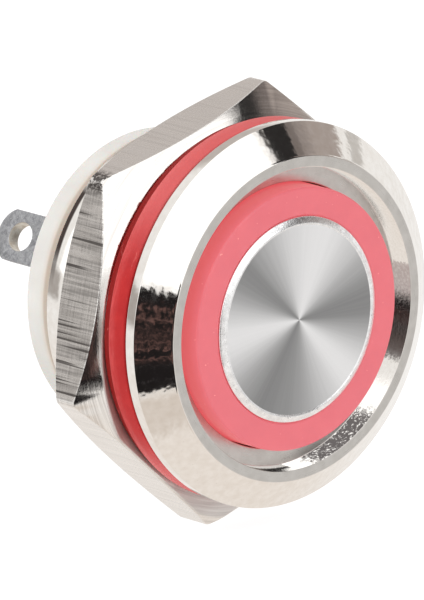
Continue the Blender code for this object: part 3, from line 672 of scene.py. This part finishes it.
def bezel_housing():
    low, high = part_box("bezel_housing")
    head_r, rim_y, end_y = high.x, low.y, high.y
    floor_y = rim_y + RECESS_DEPTH
    corners = [(COUNTERBORE_R, end_y, 0.1 * MM), (COUNTERBORE_R, SHOULDER_Y, 0.05 * MM)]
    corners += [(GUIDE_BORE_R, SHOULDER_Y, 0.05 * MM), (GUIDE_BORE_R, floor_y, 0.06 * MM)]
    corners += [(RIM_INNER_R, floor_y, 0.10 * MM), (RIM_INNER_R, rim_y, 0.07 * MM)]
    corners += [(RIM_OUTER_R, rim_y, 0.14 * MM), (RIM_OUTER_R + 0.09 * MM, rim_y + 0.08 * MM, 0.05 * MM)]
    corners += [(head_r, -LIP_DEPTH, 0.05 * MM), (head_r, 0.0, 0.08 * MM)]
    corners += [(THREAD_ROOT_R, 0.0, 0.05 * MM), (THREAD_ROOT_R, 0.5 * MM, 0.05 * MM)]
    corners += rows(THREAD_CREST_R, THREAD_START_Y, THREAD_END_Y)
    corners += [(THREAD_CREST_R, end_y - BARREL_CHAMFER, 0.03 * MM)]
    corners += [(THREAD_CREST_R - BARREL_CHAMFER, end_y, 0.03 * MM)]

    def in_thread(r, y):
        return THREAD_START_Y < y < THREAD_END_Y and r > THREAD_ROOT_R + 0.1 * MM

    def zone(r, y):
        if r > RIM_OUTER_R or y > floor_y + 0.02 * MM:
            return 0
        return 2 if rim_y + 0.02 * MM < y < floor_y - 0.015 * MM else 1

    section = threaded(rounded(corners), in_thread, THREAD_DEPTH, 1, THREAD_START_Y, THREAD_END_Y)
    made = turned("bezel_housing_turned", section,
                  (polished_nickel(), satin_nickel(), recess_nickel()), zone=zone)
    return piece(made, "housing", "polished_nickel", "bezel_housing")


def panel_seal():
    low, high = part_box("panel_seal")
    bore, front, rear = NUT_BORE_R, low.y, high.y
    edge_r = high.x
    corners = [(bore, front, 0.03 * MM), (edge_r - 0.05 * MM, front, 0.14 * MM)]
    corners += [(edge_r, SEAL_EDGE_Y - 0.55 * MM, 1.0 * MM), (edge_r - 0.03 * MM, SEAL_EDGE_Y, 0.09 * MM)]
    corners += [(edge_r - 0.17 * MM, SEAL_EDGE_Y + 0.02 * MM, 0.05 * MM)]
    corners += [(edge_r - 0.28 * MM, rear, 0.08 * MM), (bore, rear, 0.05 * MM)]
    made = turned("panel_seal_moulding", steady(corners), (red_silicone(),))
    return piece(made, "housing", "red_silicone", "panel_seal")


def hexagon_radius(angle):
    """Distance from the axis to the side of a hexagon whose corners are rounded."""
    flat_r = NUT_ACROSS_FLATS / 2
    off_corner = (angle - NUT_CORNER_ANGLE + pi / 6) % (pi / 3) - pi / 6
    straight = flat_r / cos(pi / 6 - abs(off_corner))
    centre_r = 2 / sqrt(3) * (flat_r - NUT_CORNER_FILLET)
    aside = centre_r * sin(off_corner)
    if abs(off_corner) > nut_corner_reach():
        return straight
    return centre_r * cos(off_corner) + sqrt(NUT_CORNER_FILLET ** 2 - aside ** 2)


def nut_front_chamfer(angle, side_r):
    """Where the off-centre front chamfer starts at an angle, and how far back it has dropped at the side."""
    off = angle - NUT_FACE_OFFSET_ANGLE
    across = NUT_FACE_OFFSET * sin(off)
    start_r = NUT_FACE_OFFSET * cos(off) + sqrt(NUT_FRONT_FACE_R ** 2 - across ** 2)
    from_centre = sqrt((side_r - NUT_FACE_OFFSET * cos(off)) ** 2 + across ** 2)
    least = 0.10 * MM
    drop = max(least, (from_centre - NUT_FRONT_FACE_R) * tan(NUT_FRONT_CHAMFER))
    return min(start_r, side_r - least), drop


def nut_corner_reach():
    """Half the angle, seen from the axis, that a rounded corner of the nut takes up."""
    centre_r = 2 / sqrt(3) * (NUT_ACROSS_FLATS / 2 - NUT_CORNER_FILLET)
    return atan(NUT_CORNER_FILLET / 2 / (centre_r + NUT_CORNER_FILLET * cos(pi / 6)))


def nut_angles():
    """Angles round the nut, closer together at its corners."""
    reach = nut_corner_reach()
    sector = [reach * k / 4 for k in range(-4, 4)]
    sector += [reach + (pi / 3 - 2 * reach) * k / 30 for k in range(30)]
    return [NUT_CORNER_ANGLE + side * pi / 3 + a for side in range(6) for a in sector]


def hex_nut():
    low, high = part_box("hex_nut")
    front, rear = low.y, high.y
    sink = 0.35 * MM
    thread_from, thread_to = front + sink, rear - sink
    bore = rows(NUT_BORE_R, thread_to, thread_from)

    def section(angle):
        side_r = hexagon_radius(angle)
        drop = (side_r - NUT_FACE_R) * tan(NUT_CHAMFER)
        off_r, front_drop = nut_front_chamfer(angle, side_r)
        corners = bore + [(NUT_BORE_R + sink, front, 0.03 * MM), (off_r, front, 0.20 * MM)]
        corners += [(side_r, front + front_drop, 0.09 * MM), (side_r, rear - drop, 0.045 * MM)]
        corners += [(NUT_FACE_R, rear, 0.12 * MM), (NUT_BORE_R + sink, rear, 0.03 * MM)]
        outline = rounded(corners, 3)
        return threaded(outline, in_thread, -0.3 * MM, 1, thread_from, thread_to)(angle)

    def in_thread(r, y):
        return r < NUT_BORE_R + 0.01 * MM

    def zone(r, y):
        if r > NUT_ACROSS_FLATS / 2 and front + 0.75 * MM < y < rear - 0.7 * MM:
            return 1
        return 2 if r > 10.1 * MM and y < front + 0.75 * MM else 0

    finishes = (polished_nickel(), milled_nickel(), turned_nickel())
    made = turned("hex_nut_machined", section, finishes, nut_angles(), zone)
    return piece(made, "nut", "polished_nickel", "hex_nut")


# ---------------------------------------------------------------- plunger and cap

def light_ring_plunger():
    low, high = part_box("light_ring_plunger")
    ring_r, top, rear = high.x, low.y, high.y
    corners = [(POST_BORE_R, POCKET_FLOOR_Y, 0.04 * MM), (POCKET_R, POCKET_FLOOR_Y, 0.05 * MM)]
    corners += [(POCKET_R, -1.5 * MM, 0.08 * MM), (RING_LIP_R, -1.6 * MM, 0.05 * MM)]
    corners += [(RING_LIP_R, top + 0.05 * MM, 0.04 * MM), (RING_LIP_R + 0.10 * MM, top, 0.06 * MM)]
    corners += [(ring_r - 0.02 * MM, top, 0.16 * MM), (ring_r, 0.02 * MM, 0.04 * MM)]
    corners += [(RING_GROOVE_R, 0.02 * MM, 0.05 * MM), (RING_GROOVE_R, 0.88 * MM, 0.05 * MM)]
    corners += [(ring_r, 0.88 * MM, 0.04 * MM), (ring_r, rear, 0.06 * MM), (SKIRT_R, rear, 0.06 * MM)]
    corners += [(SKIRT_R, WEB_REAR_Y, 0.05 * MM), (POST_BORE_R, WEB_REAR_Y, 0.04 * MM)]
    made = turned("light_ring_moulding", steady(corners), (lit_plastic(),))
    return piece(made, "button", "translucent_red_plastic", "light_ring_plunger")


def button_cap():
    low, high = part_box("button_cap")
    cap_r, face_y, rear = high.x, low.y, high.y
    corners = [(0, face_y + 0.04 * MM, 0), (CAP_FACE_R - 0.10 * MM, face_y + 0.04 * MM, 0.02 * MM)]
    corners += [(CAP_FACE_R, face_y, 0.06 * MM), (cap_r, face_y + CAP_SHOULDER, 0.10 * MM)]
    corners += [(cap_r, rear, 0.05 * MM)]
    corners += [(5.0 * MM, rear, 0.05 * MM), (4.7 * MM, rear - 0.3 * MM, 0.05 * MM), (0, rear - 0.3 * MM, 0)]

    def zone(r, y):
        return int(r > CAP_FACE_R - 0.11 * MM)

    made = turned("button_cap_spun", steady(corners), (spun_face(), turned_steel()), zone=zone)
    return piece(made, "button", "spun_stainless", "button_cap")


# ---------------------------------------------------------------- base and terminals

def terminal_base():
    low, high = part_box("terminal_base")
    base_r, collar_y, rear = high.x, low.y, high.y
    recess_y = rear - BASE_RECESS_DEPTH
    corners = [(0, BASE_FLOOR_Y, 0), (BASE_POCKET_R, BASE_FLOOR_Y, 0.2 * MM)]
    corners += [(BASE_POCKET_R, collar_y, 0.1 * MM)]
    corners += [(BASE_COLLAR_R, collar_y, 0.1 * MM), (BASE_COLLAR_R, BASE_FRONT_Y, 0.05 * MM)]
    corners += [(base_r, BASE_FRONT_Y, 0.12 * MM), (base_r, rear, 0.30 * MM)]
    corners += [(BASE_RECESS_R, rear, 0.12 * MM), (BASE_RECESS_R, recess_y, 0.05 * MM), (0, recess_y, 0)]
    made = turned("terminal_base_moulding", steady(corners), (moulded_white(),))
    return piece(made, "housing", "white_nylon", "terminal_base")


def moulded_white():
    """Moulded nylon, with painted shade low down and a painted brown shade along its front edge."""
    made, tree, shader = principled("white_nylon", Subsurface_Weight=0.15, Subsurface_Scale=0.5 * MM)
    place = place_on(tree)
    _, y, z = split(tree, place)
    cloud = noise(tree, place, 0.6, 3.0, 0.6)
    grain = noise(tree, place, 11.0, 3.0, 0.6)
    colour = blend(tree, remap(tree, cloud, 0.3, 0.7), (0.69, 0.67, 0.635), (0.74, 0.725, 0.69))
    # painted shade: darker towards the bottom
    low = remap(tree, z, 1.0, -8.0, smooth=True)
    colour = blend(tree, low, colour, (0.60, 0.585, 0.545))
    # painted shade: warm brown along the front edge, darkest in a thin line at the edge
    painted_warm_shade = remap(tree, y, 10.2, 9.65, 0.0, 0.6, smooth=True)
    colour = blend(tree, painted_warm_shade, colour, (0.64, 0.54, 0.44))
    colour = blend(tree, remap(tree, y, 9.84, 9.66, 0.0, 0.55), colour, (0.36, 0.27, 0.20))
    colour = blend(tree, remap(tree, grain, 0.70, 0.78, 0.0, 0.35), colour, (0.48, 0.47, 0.44))
    rough = remap(tree, grain, 0.3, 0.7, 0.43, 0.54)
    wire(tree, shader, Base_Color=colour, Roughness=rough, Normal=bump(tree, grain, 0.01 * MM))
    return made


def ellipse(centre_y, half_x, half_y, count):
    turns = [2 * pi * i / count for i in range(count)]
    return [(half_x * cos(a), centre_y + half_y * sin(a)) for a in turns]


def blade(name, outline, hole, thickness, angle, radius, material):
    """A stamped terminal blade with rounded edges and an eye, stood at an angle and radius round the axis."""
    edge = 0.05 * MM
    curve = bpy.data.curves.new(name, "CURVE")
    curve.dimensions = "2D"
    curve.fill_mode = "BOTH"
    curve.extrude = thickness / 2 - edge
    curve.bevel_depth = edge
    curve.bevel_resolution = 2
    curve.offset = -edge
    for points in (outline, hole):
        spline = curve.splines.new("POLY")
        spline.points.add(len(points) - 1)
        for point, (x, y) in zip(spline.points, points):
            point.co = (x, y, 0.0, 1.0)
        spline.use_cyclic_u = True
    flat = bpy.data.objects.new(name, curve)
    bpy.context.scene.collection.objects.link(flat)
    bpy.context.view_layer.update()
    mesh = bpy.data.meshes.new_from_object(flat.evaluated_get(bpy.context.evaluated_depsgraph_get()))
    bpy.data.objects.remove(flat)
    bm = bmesh.new()
    bm.from_mesh(mesh)
    bmesh.ops.remove_doubles(bm, verts=bm.verts, dist=1e-6)
    eye_y = sum(y for x, y in hole) / len(hole)
    reach = 1.15 * max(abs(x) for x, y in hole)
    for face in bm.faces:
        middle = face.calc_center_median()
        in_eye = (middle.x ** 2 + (middle.y - eye_y) ** 2) < reach ** 2
        face.material_index = int(in_eye and abs(face.normal.z) < 0.5)
    outward = Vector((sin(angle), 0.0, cos(angle)))
    across = Vector((cos(angle), 0.0, -sin(angle)))
    stand = Matrix((across, Vector((0.0, 1.0, 0.0)), outward)).transposed().to_4x4()
    bmesh.ops.transform(bm, matrix=Matrix.Translation(outward * radius) @ stand, verts=bm.verts)
    return finished(name, bm, material, tinned_eye())


def lugs(material):
    """The two switch lugs, with domed ends and oval eyes."""
    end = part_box("lug_common")[1].y
    end_r = (LUG_HALF_WIDTH ** 2 + LUG_END_BULGE ** 2) / (2 * LUG_END_BULGE)
    reach = asin(LUG_HALF_WIDTH / end_r)
    dome = [pi / 2 - reach + 2 * reach * i / 24 for i in range(25)]
    outline = [(LUG_HALF_WIDTH, LUG_START_Y)]
    outline += [(end_r * cos(a), end - end_r + end_r * sin(a)) for a in dome]
    outline.append((-LUG_HALF_WIDTH, LUG_START_Y))
    hole = ellipse(end - LUG_EYE_SETBACK, LUG_EYE_HALF_WIDTH, LUG_EYE_HALF_LENGTH, 40)
    for node_name, angle in (("lug_common", LUG_ANGLE), ("lug_normally_open", LUG_ANGLE + pi)):
        made = blade(node_name + "_blade", outline, hole, LUG_THICKNESS, angle, LUG_CENTRE_R, material)
        piece(made, "housing", "tinned_brass", node_name)


def led_pins(material):
    """The two narrow supply pins, with round ends and small eyes."""
    half = PIN_HALF_WIDTH
    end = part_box("led_pin_plus")[1].y
    outline = [(half, PIN_START_Y)]
    outline += [(half * cos(pi * i / 20), end - half + half * sin(pi * i / 20)) for i in range(21)]
    outline.append((-half, PIN_START_Y))
    hole = ellipse(end - PIN_EYE_SETBACK, PIN_EYE_R, PIN_EYE_R, 24)
    for node_name, angle in (("led_pin_plus", LUG_ANGLE + pi / 2), ("led_pin_minus", LUG_ANGLE - pi / 2)):
        made = blade(node_name + "_blade", outline, hole, PIN_THICKNESS, angle, PIN_CENTRE_R, material)
        piece(made, "housing", "tinned_brass", node_name)


# ---------------------------------------------------------------- inner pieces, which keep their CAD shape

def return_spring(steel):
    """The coil between the plunger's web and the carrier."""
    low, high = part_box("return_spring")
    coil_r = high.x - SPRING_WIRE_R
    start, end = low.y + SPRING_WIRE_R, high.y - SPRING_WIRE_R
    count = int(SPRING_TURNS * SPRING_STEPS_PER_TURN)
    sides = [2 * pi * side / SPRING_SIDES for side in range(SPRING_SIDES)]
    bm = bmesh.new()
    rings = []
    for i in range(count + 1):
        angle = 2 * pi * SPRING_TURNS * i / count
        y = start + (end - start) * i / count
        ring = []
        for side in sides:
            out = coil_r + SPRING_WIRE_R * cos(side)
            spot = (out * sin(angle), y + SPRING_WIRE_R * sin(side), out * cos(angle))
            ring.append(bm.verts.new(spot))
        rings.append(ring)
    for ring, following in zip(rings, rings[1:]):
        for side in range(SPRING_SIDES):
            after = (side + 1) % SPRING_SIDES
            bm.faces.new((ring[side], ring[after], following[after], following[side]))
    bm.faces.new(rings[0])
    bm.faces.new(rings[-1])
    made = piece(finished("return_spring_coil", bm, steel), "housing", "spring_steel", "return_spring")
    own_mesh(made)


def finish_inner_pieces(tinned, steel):
    silver = brushed_metal("contact_silver", (0.72, 0.70, 0.66), (0.90, 0.89, 0.86), 0.24)
    bronze = brushed_metal("contact_bronze", (0.55, 0.30, 0.16), (0.80, 0.52, 0.32), 0.32)
    acetal = moulded("natural_acetal", (0.76, 0.75, 0.71), (0.84, 0.83, 0.80), 0.36)
    black_nylon = moulded("black_nylon", (0.022, 0.022, 0.025), (0.045, 0.045, 0.048), 0.5)
    rubber = moulded("black_rubber", (0.016, 0.016, 0.016), (0.030, 0.030, 0.030), 0.55)
    lens = moulded("led_lens", (0.80, 0.70, 0.42), (0.90, 0.84, 0.62), 0.25, Transmission_Weight=0.3)
    sealant = moulded("sealant_epoxy", (0.035, 0.035, 0.037), (0.06, 0.06, 0.062), 0.28, Coat_Weight=0.3)
    finishes = {
        "plunger_oring": rubber, "plunger_stem": acetal, "stem_clip": steel,
        "contact_bridge": bronze, "led_board": circuit_board(), "led_resistor": black_nylon,
        "guide_carrier": black_nylon, "rear_sealant": sealant,
        "led_lead_plus": tinned, "led_lead_minus": tinned,
    }
    for name in ("bridge_rivet_common", "bridge_rivet_open", "fixed_rivet_common", "fixed_rivet_open"):
        finishes[name] = silver
    for number in range(1, 5):
        finishes[f"led_chip_{number}"] = lens
    for name, material in finishes.items():
        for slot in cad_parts[name].material_slots:
            slot.material = material


# ---------------------------------------------------------------- studio

def direction(tree):
    """Azimuth and elevation, in degrees, of a direction in the studio; azimuth 0 is -Y and 90 is +X."""
    x, y, z = split(tree, node(tree, "ShaderNodeTexCoord").outputs["Generated"])
    azimuth = calc(tree, "ARCTAN2", x, times(tree, y, -1.0))
    elevation = calc(tree, "ARCSINE", z)
    return times(tree, azimuth, degrees(1)), times(tree, elevation, degrees(1))


def panel(tree, place, azimuths, elevations, soft):
    """Share of a panel of the studio, from 0 outside to 1 inside, with soft edges in degrees."""
    share = 1.0
    for value, (low, high) in zip(place, (azimuths, elevations)):
        for edge, sign in ((low, 1), (high, -1)):
            side = remap(tree, value, edge - sign * soft / 2, edge + sign * soft / 2, smooth=True)
            share = times(tree, share, side)
    return share


def studio_light():
    """A pale studio: a large soft light at the upper left, pale walls, a cream table and dark gaps."""
    world = bpy.data.worlds.new("studio")
    bpy.context.scene.world = world
    world.use_nodes = True
    tree = world.node_tree
    tree.nodes.clear()
    place = direction(tree)
    ray = node(tree, "ShaderNodeTexCoord").outputs["Generated"]
    coarse = remap(tree, noise(tree, ray, 7.0, 4.0, 0.65), 0.25, 0.75, -1.0, 1.0)
    torn = [calc(tree, "ADD", value, times(tree, coarse, 5.0)) for value in place]
    uneven = calc(tree, "ADD", place[1], times(tree, coarse, 1.6))
    walls = remap(tree, place[1], -60.0, -10.0, 0.0, 1.0, smooth=True)
    leaning = times(tree, calc(tree, "SUBTRACT", place[1], 39.0), -0.69)
    gap = (calc(tree, "ADD", torn[0], calc(tree, "MAXIMUM", leaning, 0.0)), place[1])
    colour = blend(tree, walls, (0.93, 0.87, 0.82), (0.99, 0.98, 0.97))
    panels = (
        (place, (-125.0, 48.0), (9.0, 76.0), 6.0, (1.5, 1.5, 1.5)),          # soft light
        (place, (18.0, 72.0), (-34.0, 8.0), 16.0, (0.76, 0.75, 0.745)),      # grey wall on the right
        (place, (47.0, 80.4), (12.0, 64.0), 2.0, (0.44, 0.385, 0.36)),       # brown edge beside the light
        (gap, (46.0, 70.0), (12.0, 64.0), 14.0, (0.22, 0.19, 0.18)),         # soft side of the gap
        (gap, (46.0, 59.5), (12.0, 64.0), 3.0, (0.03, 0.028, 0.028)),        # the gap itself
        (place, (84.0, 88.4), (5.0, 24.0), 1.5, (0.64, 0.62, 0.60)),         # a fold in the backdrop
        (place, (-23.0, -10.0), (-12.0, -3.0), 6.0, (0.46, 0.39, 0.36)),     # a brown strap on the dark stand
        (place, (-46.0, -22.0), (-58.0, -34.0), 6.0, (0.78, 0.71, 0.65)),    # the stand's shadow on the table
        (place, (-152.0, -120.0), (-6.0, 9.0), 6.0, (0.46, 0.43, 0.41)),     # gap behind on the left
        (place, (132.0, 172.0), (18.0, 62.0), 14.0, (0.58, 0.535, 0.51)),    # grey wall behind on the right
    )
    for where, azimuths, elevations, soft, tone in panels:
        colour = blend(tree, panel(tree, where, azimuths, elevations, soft), colour, tone)
    aside = calc(tree, "ADD", place[0], 31.0)
    above = calc(tree, "ADD", uneven, times(tree, aside, 1.82))
    below = calc(tree, "SUBTRACT", uneven, times(tree, aside, 0.57))
    body = panel(tree, place, (-50.0, -6.5), (-50.0, 60.0), 1.5)
    body = times(tree, body, remap(tree, above, 8.0, 6.6, smooth=True),
                 remap(tree, below, -32.6, -31.4, smooth=True))
    colour = blend(tree, body, colour, (0.016, 0.014, 0.0145))               # the dark stand
    patches = remap(tree, noise(tree, ray, 9.0, 3.0, 0.7), 0.48, 0.62)
    middle = panel(tree, torn, (-50.0, -8.0), (-20.0, 4.0), 6.0)
    colour = blend(tree, times(tree, body, middle, patches), colour, (0.24, 0.13, 0.115))
    glints = remap(tree, noise(tree, ray, 60.0, 1.0, 0.5), 0.74, 0.78)
    colour = blend(tree, times(tree, body, glints), colour, (0.35, 0.33, 0.33))
    seen = node(tree, "ShaderNodeLightPath").outputs["Is Camera Ray"]
    colour = blend(tree, seen, colour, (1.0, 1.0, 1.0))
    light = node(tree, "ShaderNodeBackground", {"Color": colour, "Strength": 1.0})
    out = node(tree, "ShaderNodeOutputWorld")
    tree.links.new(light.outputs[0], out.inputs[0])


def floor(level):
    """A wide pale table just under the object."""
    bm = bmesh.new()
    bmesh.ops.create_grid(bm, x_segments=8, y_segments=8, size=0.8)
    bmesh.ops.translate(bm, vec=(0, 0, level), verts=bm.verts)
    made, tree, shader = principled("pale_table", Roughness=0.9, Emission_Strength=0.9)
    shader.inputs["Emission Color"].default_value = (1.0, 1.0, 1.0, 1.0)
    paper = noise(tree, place_on(tree), 0.02, 2.0)
    wire(tree, shader, Base_Color=blend(tree, paper, (0.18, 0.18, 0.18), (0.22, 0.22, 0.22)))
    table = finished("table", bm, made)
    table.visible_glossy = False


def camera():
    lens = bpy.data.cameras.new("camera")
    lens.lens = lens.sensor_width * VIEW_DISTANCE / VIEW_HEIGHT
    lens.clip_start = 0.01
    lens.clip_end = 10.0
    made = bpy.data.objects.new("camera", lens)
    bpy.context.scene.collection.objects.link(made)
    level = cos(VIEW_ELEVATION)
    back = Vector((sin(VIEW_AZIMUTH) * level, -cos(VIEW_AZIMUTH) * level, sin(VIEW_ELEVATION)))
    right = Vector((cos(VIEW_AZIMUTH), sin(VIEW_AZIMUTH), 0.0))
    aim = right * AIM_RIGHT + back.cross(right) * AIM_UP
    made.location = aim + back * VIEW_DISTANCE
    made.rotation_mode = "QUATERNION"
    made.rotation_quaternion = (-back).to_track_quat("-Z", "Y")
    bpy.context.scene.camera = made


def build():
    camera()
    studio_light()
    floor(cad_box[0].z - 0.05 * MM)
    bezel_housing()
    panel_seal()
    hex_nut()
    light_ring_plunger()
    button_cap()
    terminal_base()
    tinned = tinned_brass()
    lugs(tinned)
    led_pins(tinned)
    steel = brushed_metal("spring_steel", (0.42, 0.42, 0.43), (0.60, 0.60, 0.61), 0.30)
    return_spring(steel)
    finish_inner_pieces(tinned, steel)
    bpy.context.scene.view_settings.view_transform = "Standard"


build()
